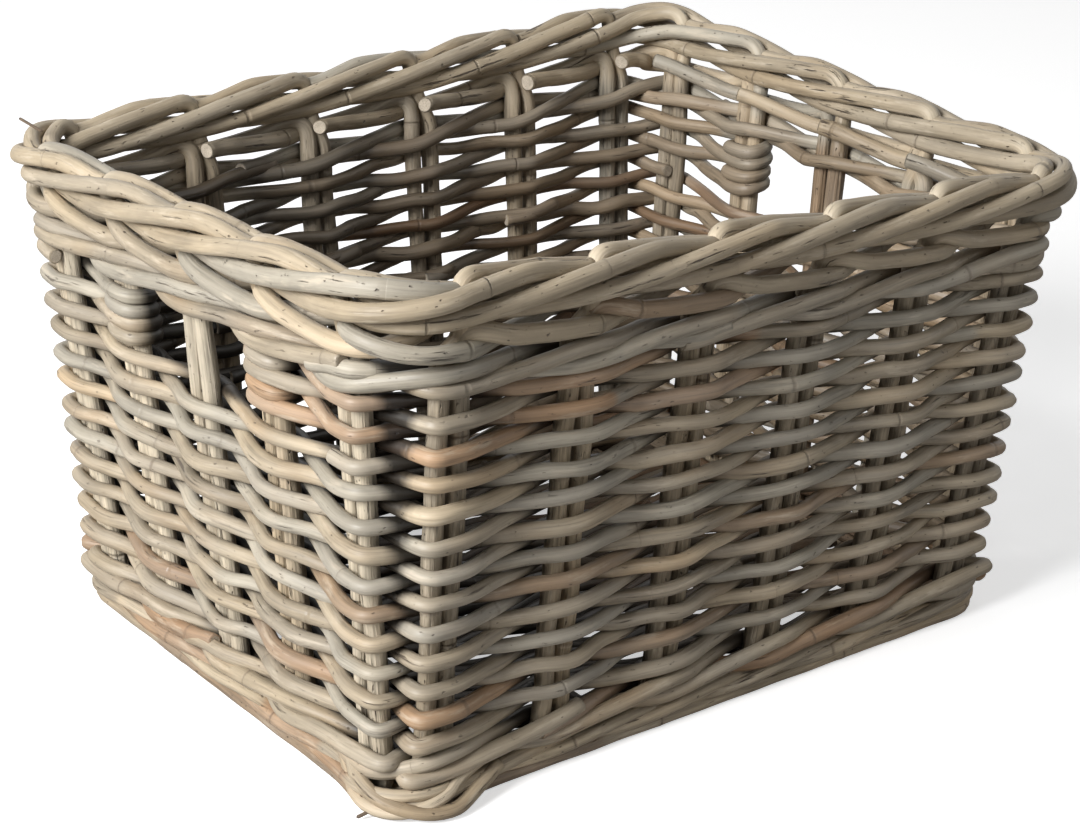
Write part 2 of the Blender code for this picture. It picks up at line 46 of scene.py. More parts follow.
# The basket's own sizes, in metres, as its frame has them
basket = {
    "topHalf": (0.191, 0.153, 0.021),  # half length, half width and corner radius at the border
    "baseHalf": (0.1740, 0.1325, 0.017), "rimHeight": 0.235, "footHeight": 0.008, "twist": 0.0065,
    "sag": 0.001, "longPairs": 6, "shortPairs": 5,
    "stand": (0.013, 0.021),  # from the last pair to the corner's middle, at the foot and at the border
    "drift": (0.0, 0.0, -0.006, 0.0035),  # how far the stakes of each side have been set off centre
    "rodSpacing": 0.0098,
}
longPairs, shortPairs, rimHeight = (basket[key] for key in ("longPairs", "shortPairs", "rimHeight"))
pairCount = 2 * (longPairs + shortPairs)
sideReach = 1 - math.pi / 4
leftPairs = range(9, 14)  # the stake pairs of the left end
nearPairs = (13, 14)  # the pairs on both sides of the near corner


# Half length, half width and corner radius of the wall line at a height
def wallSizes(z):
    share = z / rimHeight
    return [b + (t - b) * share for b, t in zip(basket["baseHalf"], basket["topHalf"])]


# Rounded rectangle by travel: run, quarter arc, run, quarter arc, run, and the same turned half round
def wallPoint(travel, z, offset):
    travel, z, offset = np.broadcast_arrays(*(np.asarray(v, float) for v in (travel, z, offset)))
    length, width, radius = wallSizes(z)
    arc = radius * math.pi / 2
    half = 2 * (length + width - 2 * radius) + 2 * arc
    turned = np.floor(travel / half)
    u = travel - turned * half
    sign = np.where(turned % 2 == 0, 1.0, -1.0)
    a = width - radius
    b = a + arc
    c = b + 2 * (length - radius)
    d = c + arc
    firstBend = np.clip((u - a) / radius, 0, math.pi / 2)
    secondBend = np.clip((u - c) / radius, 0, math.pi / 2)
    bend = np.where(u < c, firstBend, math.pi / 2 + secondBend)
    reach = radius + offset
    coreX = np.where(u < b, length - radius, np.where(u < c, length - radius - (u - b), -(length - radius)))
    coreY = np.where(u < a, u, np.where(u < d, width - radius, width - radius - (u - d)))
    x = coreX + reach * np.cos(bend)
    y = coreY + reach * np.sin(bend)
    return np.stack([x * sign, y * sign, z], -1)


# How far points lie outside the wall line at their heights: distance to a rounded rectangle, below 0 inside
def wallOffset(points):
    length, width, radius = wallSizes(points[:, 2])
    gapX = np.abs(points[:, 0]) - (length - radius)
    gapY = np.abs(points[:, 1]) - (width - radius)
    return np.hypot(np.maximum(gapX, 0), np.maximum(gapY, 0)) + np.minimum(np.maximum(gapX, gapY), 0) - radius


# The way out of the wall: the step from the wall line to 1 mm outside it, per metre
def wallNormal(travel, z):
    return (wallPoint(travel, z, 0.001) - wallPoint(travel, z, 0.0)) / 0.001


# Straight lines between the corner middles, with the pairs evenly spread between two stands
def pairTravel(pair, z):
    pair, z = np.broadcast_arrays(np.asarray(pair), np.asarray(z, float))
    share = z / rimHeight
    length, width, radius = wallSizes(z)
    shortReach = width - radius * sideReach
    longReach = length - radius * sideReach
    halfTurn, place = np.divmod(pair + shortPairs // 2, pairCount // 2)
    isLong = place >= shortPairs
    start = 2 * halfTurn * (shortReach + longReach) - shortReach + np.where(isLong, 2 * shortReach, 0)
    reach = np.where(isLong, longReach, shortReach)
    count = np.where(isLong, longPairs, shortPairs)
    place = np.where(isLong, place - shortPairs, place)
    stand = basket["stand"][0] + (basket["stand"][1] - basket["stand"][0]) * share
    drift = np.asarray(basket["drift"])[(2 * halfTurn + isLong) % 4] * share
    return start + stand + place * 2 * (reach - stand) / (count - 1) + drift


# Two opposite corners stand higher, the other two lower, and the sides sag, all growing from the foot up
def settle(points):
    x, y, z = points[..., 0], points[..., 1], points[..., 2]
    share = np.maximum(z - basket["footHeight"], 0) / (rimHeight - basket["footHeight"])
    across = x / basket["topHalf"][0] * y / basket["topHalf"][1]
    lift = share * (basket["twist"] * across - basket["sag"] * (1 - np.minimum(across ** 2, 1)))
    return np.stack([x, y, z + lift], -1)


# Distance run along a path
def runOf(path):
    return np.concatenate([[0], np.cumsum(np.linalg.norm(np.diff(path, axis=0), axis=1))])


# Even steps along a broken line, then a bell-shaped average over the neighbours
def smoothPath(points, step, spread, closed=False):
    points = np.asarray(points, float)
    if closed:
        points = np.vstack([points, points[:1]])
    run = runOf(points)
    count = max(int(round(run[-1] / step)), 4)
    places = np.linspace(0, run[-1], count + 1)
    line = np.stack([np.interp(places, run, points[:, k]) for k in range(points.shape[1])], -1)
    width = max(int(3 * spread / step), 1)
    bell = np.exp(-0.5 * (np.arange(-width, width + 1) * step / max(spread, 1e-6)) ** 2)
    bell /= bell.sum()
    if closed:
        line = line[:-1]
        padded = np.vstack([line[-width:], line, line[:width]])
    else:
        head = 2 * line[0] - line[width:0:-1]
        tail = 2 * line[-1] - line[-2:-width - 2:-1]
        padded = np.vstack([head, line, tail])
    return np.stack([np.convolve(padded[:, k], bell, "valid") for k in range(points.shape[1])], -1)


# Sum of a few sine waves with random phases: a slow waver along a length, about -1 to 1
def waver(length, shortest, longest, waves=5):
    sizes = np.exp(dice.uniform(math.log(shortest), math.log(longest), waves))
    phases = dice.uniform(0, 2 * math.pi, waves)
    return np.sin(length[:, None] * 2 * math.pi / sizes + phases).sum(1) / math.sqrt(waves)


# Cane colours, as they look in plain light (sRGB 0 to 1)
caneColours = {
    "grey": (0.63, 0.58, 0.50),
    "coolGrey": (0.65, 0.62, 0.56),
    "beige": (0.685, 0.625, 0.53),
    "straw": (0.715, 0.65, 0.55),
    "brown": (0.57, 0.49, 0.40),
    "orange": (0.62, 0.51, 0.40),
    "dark": (0.45, 0.38, 0.31),
    "pale": (0.83, 0.78, 0.69),
}


# From sRGB to linear light
def toLinear(colour):
    colour = np.asarray(colour, float)
    return np.where(colour <= 0.04045, colour / 12.92, ((colour + 0.055) / 1.055) ** 2.4)


# Colours picked by their weights, each a little lighter or darker
def pickColours(count, weights):
    chances = np.array(list(weights.values()), float)
    picks = dice.choice(len(weights), size=count, p=chances / chances.sum())
    table = toLinear([caneColours[name] for name in weights])
    return table[picks] * dice.uniform(0.84, 1.12, (count, 1))


# One picked colour for a whole path
def plainTone(path, weights):
    return np.repeat(pickColours(1, weights), len(path), 0)


# One colour for each stretch of cane, changing over a few millimetres where one cane takes over
def toneAlong(length, stretch, weights):
    count = max(int(length[-1] / stretch) + 2, 2)
    colours = pickColours(count, weights)
    joints = np.cumsum(dice.uniform(0.6, 1.4, count)) * stretch
    which = np.clip(np.searchsorted(joints, length), 0, count - 1)
    ahead = np.clip(which + 1, 0, count - 1)
    blend = np.clip((length - joints[which] + 0.004) / 0.004, 0, 1)[:, None]
    return colours[which] * (1 - blend) + colours[ahead] * blend


strandLook = {
    "sides": 14, "oval": 0.06, "nodeGap": (0.08, 0.22), "nodeSwell": 0.06, "swellLength": 0.0022,
    "uneven": 0.03, "bevel": 0.0007,
    "capSegment": 0.3,  # a place between two nodes, so that a cut end has no node line
    "innerShade": (0.06, 0.82),  # the share of colour left by the painted shade inside the wall, at the left and at the right
    # the brownish tint of the painted shade
    "innerTint": (1.0, 0.92, 0.85),
    "innerDepth": (-0.0020, 0.0024),  # the offsets where the painted shade is full and where it ends
    "innerTop": (0.220, 0.226),  # the heights over which it fades out
}


# Painted shade: canes turn dark and brownish from just outside the wall line to just inside it, most to the left
# and low down, where the light reaches least; near the foot the offset is counted further out
def paintedShadeAt(points):
    x, z = points[:, 0], points[:, 2]
    offset = wallOffset(points) + np.interp(z, (0.010, 0.022), (0.008, 0.0))
    depth = np.interp(offset, strandLook["innerDepth"], (1.0, 0.0)) * np.interp(z, strandLook["innerTop"], (1.0, 0.0))
    inner = np.interp(x + 0.8 * z, (0.00, 0.36), strandLook["innerShade"])
    return 1 - (1 - inner[:, None] * strandLook["innerTint"]) * depth[:, None]


# A round section carried along a path: path + radius (cos a first + sin a second), with swellings at the nodes.
# Ridges and peel may change along the path, and the last argument is the strand's share of the painted inner shade
def sweep(path, radius, reference, colours, closed=False, sides=strandLook["sides"],
          ridges=0.0, peel=1.0, shadeShare=1.0):
    count = len(path)
    ahead = np.roll(path, -1, 0) - np.roll(path, 1, 0)
    if not closed:
        ahead[0] = path[1] - path[0]
        ahead[-1] = path[-1] - path[-2]
    ahead /= np.linalg.norm(ahead, axis=1, keepdims=True)
    first = reference - (reference * ahead).sum(1, keepdims=True) * ahead
    first /= np.linalg.norm(first, axis=1, keepdims=True)
    second = np.cross(ahead, first)
    run = runOf(path)
    total = run[-1] + (np.linalg.norm(path[0] - path[-1]) if closed else 0)
    gaps = dice.uniform(*strandLook["nodeGap"], max(int(total / strandLook["nodeGap"][0]) + 3, 3))
    nodes = np.cumsum(gaps) - dice.uniform(0, gaps[0])
    if closed:
        nodes = nodes[nodes < total - 0.02]
        nodes = np.append(nodes, nodes[0] + total)
    segment = np.interp(run, nodes, np.arange(len(nodes)), left=0.3, right=len(nodes) - 0.7)
    near = np.abs(segment - np.round(segment)) * gaps.mean()
    swell = 1 + strandLook["nodeSwell"] * np.exp(-(near / strandLook["swellLength"]) ** 2)
    size = np.asarray(radius) * swell * (1 + strandLook["uneven"] * waver(run, 0.02, 0.2))
    angle = np.arange(sides) * 2 * math.pi / sides
    lean = dice.uniform(0, math.pi)
    ring = 1 + strandLook["oval"] * np.cos(2 * (angle - lean)) + 0.02 * np.cos(3 * angle + lean)
    groove = np.cos(8 * angle + 2 * lean) + 0.7 * np.cos(11 * angle - lean) + 0.6 * np.cos(5 * angle + 3 * lean)
    across = size[:, None] * (ring[None, :] + np.broadcast_to(ridges, count)[:, None] * groove[None, :])
    points = path[:, None, :] + across[..., None] * (
        np.cos(angle)[None, :, None] * first[:, None, :] + np.sin(angle)[None, :, None] * second[:, None, :])
    space = np.empty((count, sides, 3))
    space[..., 0] = run[:, None] + dice.uniform(0, 40)
    space[..., 1] = across * np.cos(angle)
    space[..., 2] = across * np.sin(angle) + dice.uniform(0, 9)
    rows = np.arange(count if closed else count - 1)
    i, j = np.meshgrid(rows, np.arange(sides), indexing="ij")
    nextI, nextJ = (i + 1) % count, (j + 1) % sides
    quads = np.stack([i * sides + j, i * sides + nextJ, nextI * sides + nextJ, nextI * sides + j], -1).reshape(-1, 4)
    points = points.reshape(-1, 3)
    strand = {
        "points": points,
        "quads": quads,
        "space": space.reshape(-1, 3),
        "segment": np.repeat(segment, sides),
        "peel": np.repeat(np.broadcast_to(peel, count), sides),
        "colour": np.repeat(colours, sides, axis=0),
        # painted shade inside the wall, as much as the strand's share of it
        "paintedShade": 1 - (1 - paintedShadeAt(points)) * shadeShare,
        "caps": np.zeros((0, 3), int),
    }
    if not closed:
        addCaps(strand, path, ahead, across, angle, first, second, run)
    return strand


# A cut end: a slightly smaller ring a little further out, then a fan to its middle
def addCaps(strand, path, ahead, across, angle, first, second, run):
    sides = len(angle)
    base = len(strand["points"])
    bevel = strandLook["bevel"]
    newPoints, newSpace, quads, fans = [], [], [], []
    for end, sign in ((0, -1.0), (-1, 1.0)):
        middle = path[end] + sign * bevel * ahead[end]
        inner = across[end] - bevel
        sideways, upward = inner * np.cos(angle), inner * np.sin(angle)
        ring = middle + sideways[:, None] * first[end] + upward[:, None] * second[end]
        start = base + len(newPoints) * (sides + 1)
        newPoints.append(np.vstack([ring, middle[None]]))
        flat = [np.full(sides + 1, run[end]), np.append(sideways, 0), np.append(upward, 0)]
        newSpace.append(np.stack(flat, -1))
        j = np.arange(sides)
        nextJ = (j + 1) % sides
        edge = (0 if end == 0 else base - sides)
        outer = np.stack([edge + j, edge + nextJ, start + nextJ, start + j], -1)
        fan = np.stack([start + j, start + nextJ, np.full(sides, start + sides)], -1)
        quads.append(outer if end == -1 else outer[:, ::-1])
        fans.append(fan if end == -1 else fan[:, ::-1])
    added = 2 * (sides + 1)
    more = {
        "points": newPoints, "space": newSpace, "quads": quads, "caps": fans,
        "segment": [np.full(added, strandLook["capSegment"])], "peel": [np.ones(added)],
        # cut ends take none of the painted shade
        "paintedShade": [np.ones((added, 3))], "colour": [np.repeat(strand["colour"][[0, -1]], sides + 1, 0)],
    }
    for key, values in more.items():
        strand[key] = np.concatenate([strand[key], *values])


def addObject(name, data):
    thing = bpy.data.objects.new(name, data)
    bpy.context.scene.collection.objects.link(thing)
    return thing


# Name, kind and field of each mesh attribute, and the strand's values that go into it
strandAttributes = (
    ("caneSpace", "FLOAT_VECTOR", "vector", "space"),
    ("segment", "FLOAT", "value", "segment"),
    ("peel", "FLOAT", "value", "peel"),
    ("tone", "FLOAT_COLOR", "color", "colour"),
    # the painted inner shade, multiplied over the colour
    ("paintedShade", "FLOAT_COLOR", "color", "paintedShade"),
)


# Puts the strands of one piece into one mesh, with its attributes, and ties it to its CAD node
def makePiece(node, strands, slot):
    offsets = np.cumsum([0] + [len(s["points"]) for s in strands[:-1]])
    points = np.vstack([s["points"] for s in strands])
    quads, caps = (np.vstack([s[key] + o for s, o in zip(strands, offsets)]) for key in ("quads", "caps"))
    mesh = bpy.data.meshes.new(node)
    loops = np.concatenate([quads.ravel(), caps.ravel()])
    sizes = np.repeat([4, 3], (len(quads), len(caps)))
    starts = np.cumsum(sizes) - sizes
    mesh.vertices.add(len(points))
    mesh.vertices.foreach_set("co", points.astype(np.float32).ravel())
    mesh.loops.add(len(loops))
    mesh.loops.foreach_set("vertex_index", loops.astype(np.int32))
    mesh.polygons.add(len(starts))
    mesh.polygons.foreach_set("loop_start", starts.astype(np.int32))
    mesh.polygons.foreach_set("loop_total", sizes.astype(np.int32))
    mesh.polygons.foreach_set("material_index", (sizes == 3).astype(np.int32))
    mesh.polygons.foreach_set("use_smooth", sizes == 4)
    for name, kind, field, key in strandAttributes:
        values = np.concatenate([s[key] for s in strands])
        if kind == "FLOAT_COLOR":
            values = np.hstack([values, np.ones((len(values), 1))])
        mesh.attributes.new(name, kind, "POINT").data.foreach_set(field, values.astype(np.float32).ravel())
    mesh.update(calc_edges=True)
    mesh.validate()
    mesh.materials.append(materials[slot])
    mesh.materials.append(materials["cut_end"])
    piece = addObject(f"cane_{node}", mesh)
    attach(piece, "root")
    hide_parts(node)
    return piece


# Materials

def newMaterial(name):
    material = bpy.data.materials.new(name)
    material.use_nodes = True
    tree = material.node_tree
    return material, tree, tree.nodes["Principled BSDF"]


# A socket gets a link from another one, or a plain value
def link(tree, source, target):
    if isinstance(source, (int, float, tuple)):
        target.default_value = source
    elif source is not None:
        tree.links.new(source, target)


def mathNode(tree, operation, first, second=None):
    node = tree.nodes.new("ShaderNodeMath")
    node.operation = operation
    for socket, value in zip(node.inputs, (first, second)):
        link(tree, value, socket)
    return node.outputs[0]


def noiseNode(tree, vector, scale, stretch, detail, roughness):
    mapping = tree.nodes.new("ShaderNodeMapping")
    mapping.inputs["Scale"].default_value = stretch
    link(tree, vector, mapping.inputs["Vector"])
    noise = tree.nodes.new("ShaderNodeTexNoise")
    for key, value in (("Scale", scale), ("Detail", detail), ("Roughness", roughness)):
        noise.inputs[key].default_value = value
    link(tree, mapping.outputs[0], noise.inputs["Vector"])
    return noise.outputs["Fac"]


def rampNode(tree, value, stops):
    ramp = tree.nodes.new("ShaderNodeValToRGB")
    elements = ramp.color_ramp.elements
    elements[0].position, elements[1].position = stops[0][0], stops[-1][0]
    for place, _ in stops[1:-1]:
        elements.new(place)
    for element, (_, level) in zip(elements, stops):
        element.color = (level, level, level, 1)
    link(tree, value, ramp.inputs["Fac"])
    return ramp.outputs["Color"]


# A ramp's level times a strength
def maskNode(tree, value, stops, strength):
    return mathNode(tree, "MULTIPLY", rampNode(tree, value, stops), strength)


def mixNode(tree, kind, factor, first, second):
    node = tree.nodes.new("ShaderNodeMix")
    node.data_type = "RGBA"
    node.blend_type = kind
    for number, value in ((0, factor), (6, first), (7, second)):
        link(tree, value, node.inputs[number])
    return node.outputs[2]


# Scale, stretch, detail and roughness of each noise
caneNoises = (
    (900.0, (0.035, 1, 1), 3.0, 0.6),  # fibre
    (380.0, (0.05, 1, 1), 2.0, 0.5),  # strands
    (60.0, (0.35, 1.3, 1.3), 4.0, 0.6),  # patches
    (15.0, (0.6, 1.5, 1.5), 2.0, 0.5),  # blotches
    (11.0, (0.8, 2.0, 2.0), 3.0, 0.6),  # blushes
    (210.0, (0.16, 1, 1), 4.0, 0.65),  # scuffs
    (330.0, (0.07, 1, 1), 4.0, 0.65),  # cracks
    (560.0, (0.45, 1, 1), 2.0, 0.5),  # specks
)
# Every input is linked or set where the group is used
groupSockets = (
    ("INPUT", "Tone", "Color"), ("INPUT", "Space", "Vector"), ("INPUT", "Segment", "Float"),
    *(("INPUT", name, "Float") for name in ("Fibre", "Bloom", "Crack", "Scuff", "Warmth")),
    ("OUTPUT", "Color", "Color"), ("OUTPUT", "Roughness", "Float"), ("OUTPUT", "Height", "Float"),
)


# Weathered cane: long fibres, worn pale scuffs, warm and grey patches, dark cracks, specks and thin node lines
def weatheredGroup():
    tree = bpy.data.node_groups.new("weatheredCane", "ShaderNodeTree")
    for direction, name, kind in groupSockets:
        tree.interface.new_socket(name=name, in_out=direction, socket_type=f"NodeSocket{kind}")
    given = tree.nodes.new("NodeGroupInput").outputs
    result = tree.nodes.new("NodeGroupOutput").inputs
    space = given["Space"]
    fibre, strands, patches, blotches, blushes, scuffs, cracks, specks = (
        noiseNode(tree, space, *row) for row in caneNoises)
    # lengthwise lines, dark and pale
    fibreLevel = rampNode(tree, fibre, ((0.30, 0.50), (0.45, 0.90), (0.60, 1.0), (0.78, 1.22)))
    strandLevel = rampNode(tree, strands, ((0.28, 0.66), (0.5, 1.0), (0.75, 1.16)))
    colour = mixNode(tree, "MULTIPLY", given["Fibre"], given["Tone"], fibreLevel)
    colour = mixNode(tree, "MULTIPLY", given["Fibre"], colour, strandLevel)
    patchLevel = rampNode(tree, patches, ((0.28, 0.66), (0.5, 1.0), (0.72, 1.26)))
    colour = mixNode(tree, "MULTIPLY", 0.85, colour, patchLevel)
    # grey bloom and warm blush where the cane has weathered
    bloomMask = maskNode(tree, blotches, ((0.42, 0.0), (0.62, 1.0)), given["Bloom"])
    colour = mixNode(tree, "MIX", bloomMask, colour, (0.35, 0.32, 0.275, 1))
    blushMask = maskNode(tree, blushes, ((0.52, 0.0), (0.68, 1.0)), given["Warmth"])
    colour = mixNode(tree, "MULTIPLY", blushMask, colour, (0.95, 0.80, 0.65, 1))
    # pale scuffs
    scuffMask = maskNode(tree, scuffs, ((0.56, 0.0), (0.68, 1.0)), given["Scuff"])
    colour = mixNode(tree, "MIX", scuffMask, colour, (0.58, 0.50, 0.39, 1))
    # thin node lines
    fraction = mathNode(tree, "FRACT", mathNode(tree, "ADD", given["Segment"], 0.5))
    distance = mathNode(tree, "ABSOLUTE", mathNode(tree, "SUBTRACT", fraction, 0.5))
    nodeLine = rampNode(tree, distance, ((0.0, 1.0), (0.003, 0.9), (0.007, 0.2), (0.03, 0.0)))
    nodeMask = maskNode(tree, patches, ((0.4, 0.1), (0.6, 0.6)), nodeLine)
    colour = mixNode(tree, "MIX", nodeMask, colour, (0.11, 0.08, 0.055, 1))
    # cracks and specks
    crackMask = maskNode(tree, cracks, ((0.29, 1.0), (0.36, 0.0)), given["Crack"])
    speckMask = maskNode(tree, specks, ((0.24, 1.0), (0.31, 0.0)), given["Crack"])
    darkMask = mathNode(tree, "MAXIMUM", crackMask, mathNode(tree, "MULTIPLY", speckMask, 0.7))
    colour = mixNode(tree, "MIX", darkMask, colour, (0.06, 0.043, 0.032, 1))
    link(tree, colour, result["Color"])
    patchRoughness = rampNode(tree, patches, ((0.3, 0.36), (0.7, 0.60)))
    rough = mathNode(tree, "ADD", patchRoughness, mathNode(tree, "MULTIPLY", scuffMask, 0.2))
    link(tree, rough, result["Roughness"])
    height = mathNode(tree, "MULTIPLY", fibre, 0.5)
    height = mathNode(tree, "ADD", height, mathNode(tree, "MULTIPLY", strands, 0.7))
    height = mathNode(tree, "MULTIPLY", height, given["Fibre"])
    height = mathNode(tree, "SUBTRACT", height, darkMask)
    height = mathNode(tree, "SUBTRACT", height, mathNode(tree, "MULTIPLY", nodeLine, 0.6))
    link(tree, height, result["Height"])
    return tree


# How each finish looks; specular is how much light glances off it, and bump is in metres
finishColumns = ("Fibre", "Bloom", "Crack", "Scuff", "Warmth", "specular", "bump")
finishRows = {
    "stake_cane": (0.95, 0.20, 0.90, 0.50, 0.25, 0.30, 0.0014),
    "grey_cane": (0.62, 0.40, 0.80, 0.40, 0.55, 0.42, 0.0007),
    "straw_cane": (0.58, 0.30, 0.75, 0.45, 0.60, 0.45, 0.0006),
    "red_brown_cane": (0.65, 0.30, 0.80, 0.35, 0.70, 0.40, 0.0007),
    "foot_cane": (0.80, 0.30, 0.90, 0.30, 0.40, 0.28, 0.0009),
}
finishLook = {name: dict(zip(finishColumns, row)) for name, row in finishRows.items()}


def addBump(tree, shader, height, distance):
    bump = tree.nodes.new("ShaderNodeBump")
    bump.inputs["Distance"].default_value = distance
    link(tree, height, bump.inputs["Height"])
    link(tree, bump.outputs["Normal"], shader.inputs["Normal"])


def attribute(tree, name, output):
    node = tree.nodes.new("ShaderNodeAttribute")
    node.attribute_name = name
    return node.outputs[output]


# The shared weathering for the colour, roughness and bump, and the painted inner shade multiplied over its colour
def caneMaterial(name, look, group):
    material, tree, shader = newMaterial(name)
    shader.inputs["Specular IOR Level"].default_value = look["specular"]
    cane = tree.nodes.new("ShaderNodeGroup")
    cane.node_tree = group
    for key in ("Bloom", "Crack", "Scuff", "Warmth"):
        cane.inputs[key].default_value = look[key]
    peel = attribute(tree, "peel", "Fac")
    link(tree, mathNode(tree, "MULTIPLY", peel, look["Fibre"]), cane.inputs["Fibre"])
    link(tree, attribute(tree, "tone", "Color"), cane.inputs["Tone"])
    link(tree, attribute(tree, "caneSpace", "Vector"), cane.inputs["Space"])
    link(tree, attribute(tree, "segment", "Fac"), cane.inputs["Segment"])
    addBump(tree, shader, cane.outputs["Height"], look["bump"])
    # painted shade inside the wall darkens the weathered colour
    colour = mixNode(tree, "MULTIPLY", 1.0, cane.outputs["Color"], attribute(tree, "paintedShade", "Color"))
    link(tree, colour, shader.inputs["Base Color"])
    link(tree, cane.outputs["Roughness"], shader.inputs["Roughness"])
    return material


# A cut end: pale pith with fine dark pores
def cutEndMaterial():
    material, tree, shader = newMaterial("cut_end")
    shader.inputs["Specular IOR Level"].default_value = 0.2
    space = attribute(tree, "caneSpace", "Vector")
    pores = noiseNode(tree, space, 2600.0, (0.2, 1, 1), 2.0, 0.6)
    cloud = noiseNode(tree, space, 320.0, (0.5, 1, 1), 2.0, 0.5)
    pith = (0.50, 0.43, 0.34, 1)
    colour = mixNode(tree, "MULTIPLY", 0.8, pith, rampNode(tree, pores, ((0.32, 0.45), (0.5, 1.0))))
    colour = mixNode(tree, "MULTIPLY", 0.7, colour, rampNode(tree, cloud, ((0.3, 0.7), (0.7, 1.1))))
    addBump(tree, shader, pores, 0.0004)
    link(tree, colour, shader.inputs["Base Color"])
    shader.inputs["Roughness"].default_value = 0.9
    return material


caneGroup = weatheredGroup()
materials = {name: caneMaterial(name, look, caneGroup) for name, look in finishLook.items()}
materials["cut_end"] = cutEndMaterial()
print("materials made")


# Weaving

weaving = {
    "rodRadius": 0.0042, "caneRadius": 0.0036, "firstRow": 0.0330, "lastRow": 0.1898,
    "rowCount": 24, "holeRows": (19, 20, 21, 22, 23), "step": 0.0026, "spread": 0.0042,
    "rowFinishes": (
        "grey_cane", "grey_cane", "straw_cane", "grey_cane", "straw_cane", "grey_cane", "red_brown_cane"),
    "canesPerRow": (2, 5), "thickness": (0.90, 1.08), "overlap": (0.010, 0.026), "endLength": 0.016,
    "endDepth": (0.003, 0.0045), "endDrop": 0.0008,
    "waver": ((0.0004, 0.0004, 0.0008), 0.03, 0.4),  # how far a cane strays, and the lengths of its waves
    "warmRows": (17, 18, 21), "warmBelow": 4, "coilThickness": 0.97, "coilStep": 0.00208,
    "coilSpread": 0.0024, "coilWaver": ((0.0003, 0.0003, 0.0005), 0.03, 0.3),
}


# Rows lie evenly between the first and the last
def rowHeight(row):
    share = row / (weaving["rowCount"] - 1)
    return weaving["firstRow"] + (weaving["lastRow"] - weaving["firstRow"]) * share


# The first and the last pair of each side
def isCornerPair(pair):
    place = (np.asarray(pair) + shortPairs // 2) % (pairCount // 2)
    return np.isin(place, (0, shortPairs - 1, shortPairs, pairCount // 2 - 1))


# Plan places of the rods along a row, the side each is passed on, its height and its pair
def rodsAlong(pairs, heights, sides):
    half = basket["rodSpacing"] / 2
    rodPair = np.repeat(pairs, 2)
    rodHeight = np.asarray(heights, float).reshape(-1)
    along = np.tile([-half, half], len(pairs))
    place = wallPoint(pairTravel(rodPair, rodHeight) + along, rodHeight, 0)
    side = np.repeat(sides, 2)
    return place[:, :2], side.astype(float), rodHeight, rodPair


# Lines that pass two rods at a reach, one outside and one inside, meet in the corners of the taut cane
def tautCorners(place, side, height, reach, closed, light):
    ahead = np.roll(place, -1, 0) - place
    apart = np.linalg.norm(ahead, axis=1)
    nextSide = np.roll(side, -1)
    lean = np.arcsin(np.clip((side - nextSide) * reach / apart, -1, 1))
    heading = np.arctan2(ahead[:, 1], ahead[:, 0]) + lean
    start = place + (side * reach)[:, None] * np.stack([np.sin(heading), -np.cos(heading)], -1)
    way = np.stack([np.cos(heading), np.sin(heading)], -1)
    number = np.arange(len(place))
    keep = np.ones(len(place), bool)
    keep[(number % 2 == 0) & light] = False
    if not closed:
        keep[-1] = False
    start, way, rodNumber = start[keep], way[keep], number[keep]
    before = (np.arange(len(start)) - 1) % len(start)
    back, backWay = start[before], way[before]
    spread = backWay[:, 0] * way[:, 1] - backWay[:, 1] * way[:, 0]
    safe = np.where(np.abs(spread) < 1e-6, 1, spread)
    share = ((start[:, 0] - back[:, 0]) * way[:, 1] - (start[:, 1] - back[:, 1]) * way[:, 0]) / safe
    corner = np.where(np.abs(spread)[:, None] < 1e-6, start, back + share[:, None] * backWay)
    last = (rodNumber[before] + 1) % len(place)
    cornerHeight = (height[last] + height[rodNumber]) / 2
    corners = np.column_stack([corner, cornerHeight])
    if closed:
        return corners
    stop = start[-1] + way[-1] * apart[rodNumber[-1]]
    return np.vstack([[*start[0], height[0]], corners[1:], [*stop, height[-1]]])


# Outside (1) where row and pair add up to an even number, otherwise inside (-1)
def rowSides(row, pairs):
    return np.where((row + np.asarray(pairs)) % 2 == 0, 1, -1)


levelCaneTones = {"grey": 4.6, "coolGrey": 2.2, "beige": 3.4, "straw": 1.2, "brown": 2.0, "orange": 1.0}


# Straight up at each point, as the reference for a level cane
def zUp(path):
    return np.tile([0.0, 0.0, 1.0], (len(path), 1))


# Three slow wavers, one along each axis, added to a path
def jitterPath(path, amount, shortest, longest):
    run = runOf(path)
    return path + np.stack([waver(run, shortest, longest) for _ in range(3)], -1) * amount


# 1 at both ends of a run, falling off over a length
def nearEnds(run, length):
    return np.exp(-(run / length) ** 2) + np.exp(-((run[-1] - run) / length) ** 2)


# A row: canes that follow one another round the basket, each with its ends drawn in behind inner pairs
def rowCanes(row, cuts):
    z = rowHeight(row)
    pairs = np.arange(pairCount)
    sides = rowSides(row, pairs)
    place, side, height, rodPair = rodsAlong(pairs, np.full(2 * pairCount, z), sides)
    light = (side < 0) & ~isCornerPair(rodPair)
    reach = weaving["rodRadius"] + weaving["caneRadius"]
    corners = tautCorners(place, side, height, reach, True, light)
    whole = smoothPath(corners, weaving["step"], weaving["spread"], closed=True)
    inner = np.flatnonzero((sides < 0) & ~isCornerPair(pairs))
    opened = np.sort(dice.choice(inner, cuts, replace=False))
    middles = wallPoint(pairTravel(opened, z), z, 0.0)[:, :2]
    places = np.sort(np.linalg.norm(whole[None, :, :2] - middles[:, None], axis=2).argmin(1))
    lengths = np.diff(np.append(places, places[0] + len(whole)))
    canes = []
    for start, length in zip(places, lengths):
        overlap = int(dice.uniform(*weaving["overlap"]) / weaving["step"])
        path = whole[(start - overlap + np.arange(length + 2 * overlap)) % len(whole)]
        run = runOf(path)
        ends = nearEnds(run, weaving["endLength"])
        inward = -path[:, :2] / np.linalg.norm(path[:, :2], axis=1, keepdims=True)
        path[:, :2] += inward * (ends * dice.uniform(*weaving["endDepth"]))[:, None]
        path[:, 2] += np.where(run < run[-1] / 2, 1, -1) * ends * weaving["endDrop"]
        canes.append(settle(jitterPath(path, *weaving["waver"])))
    return canes


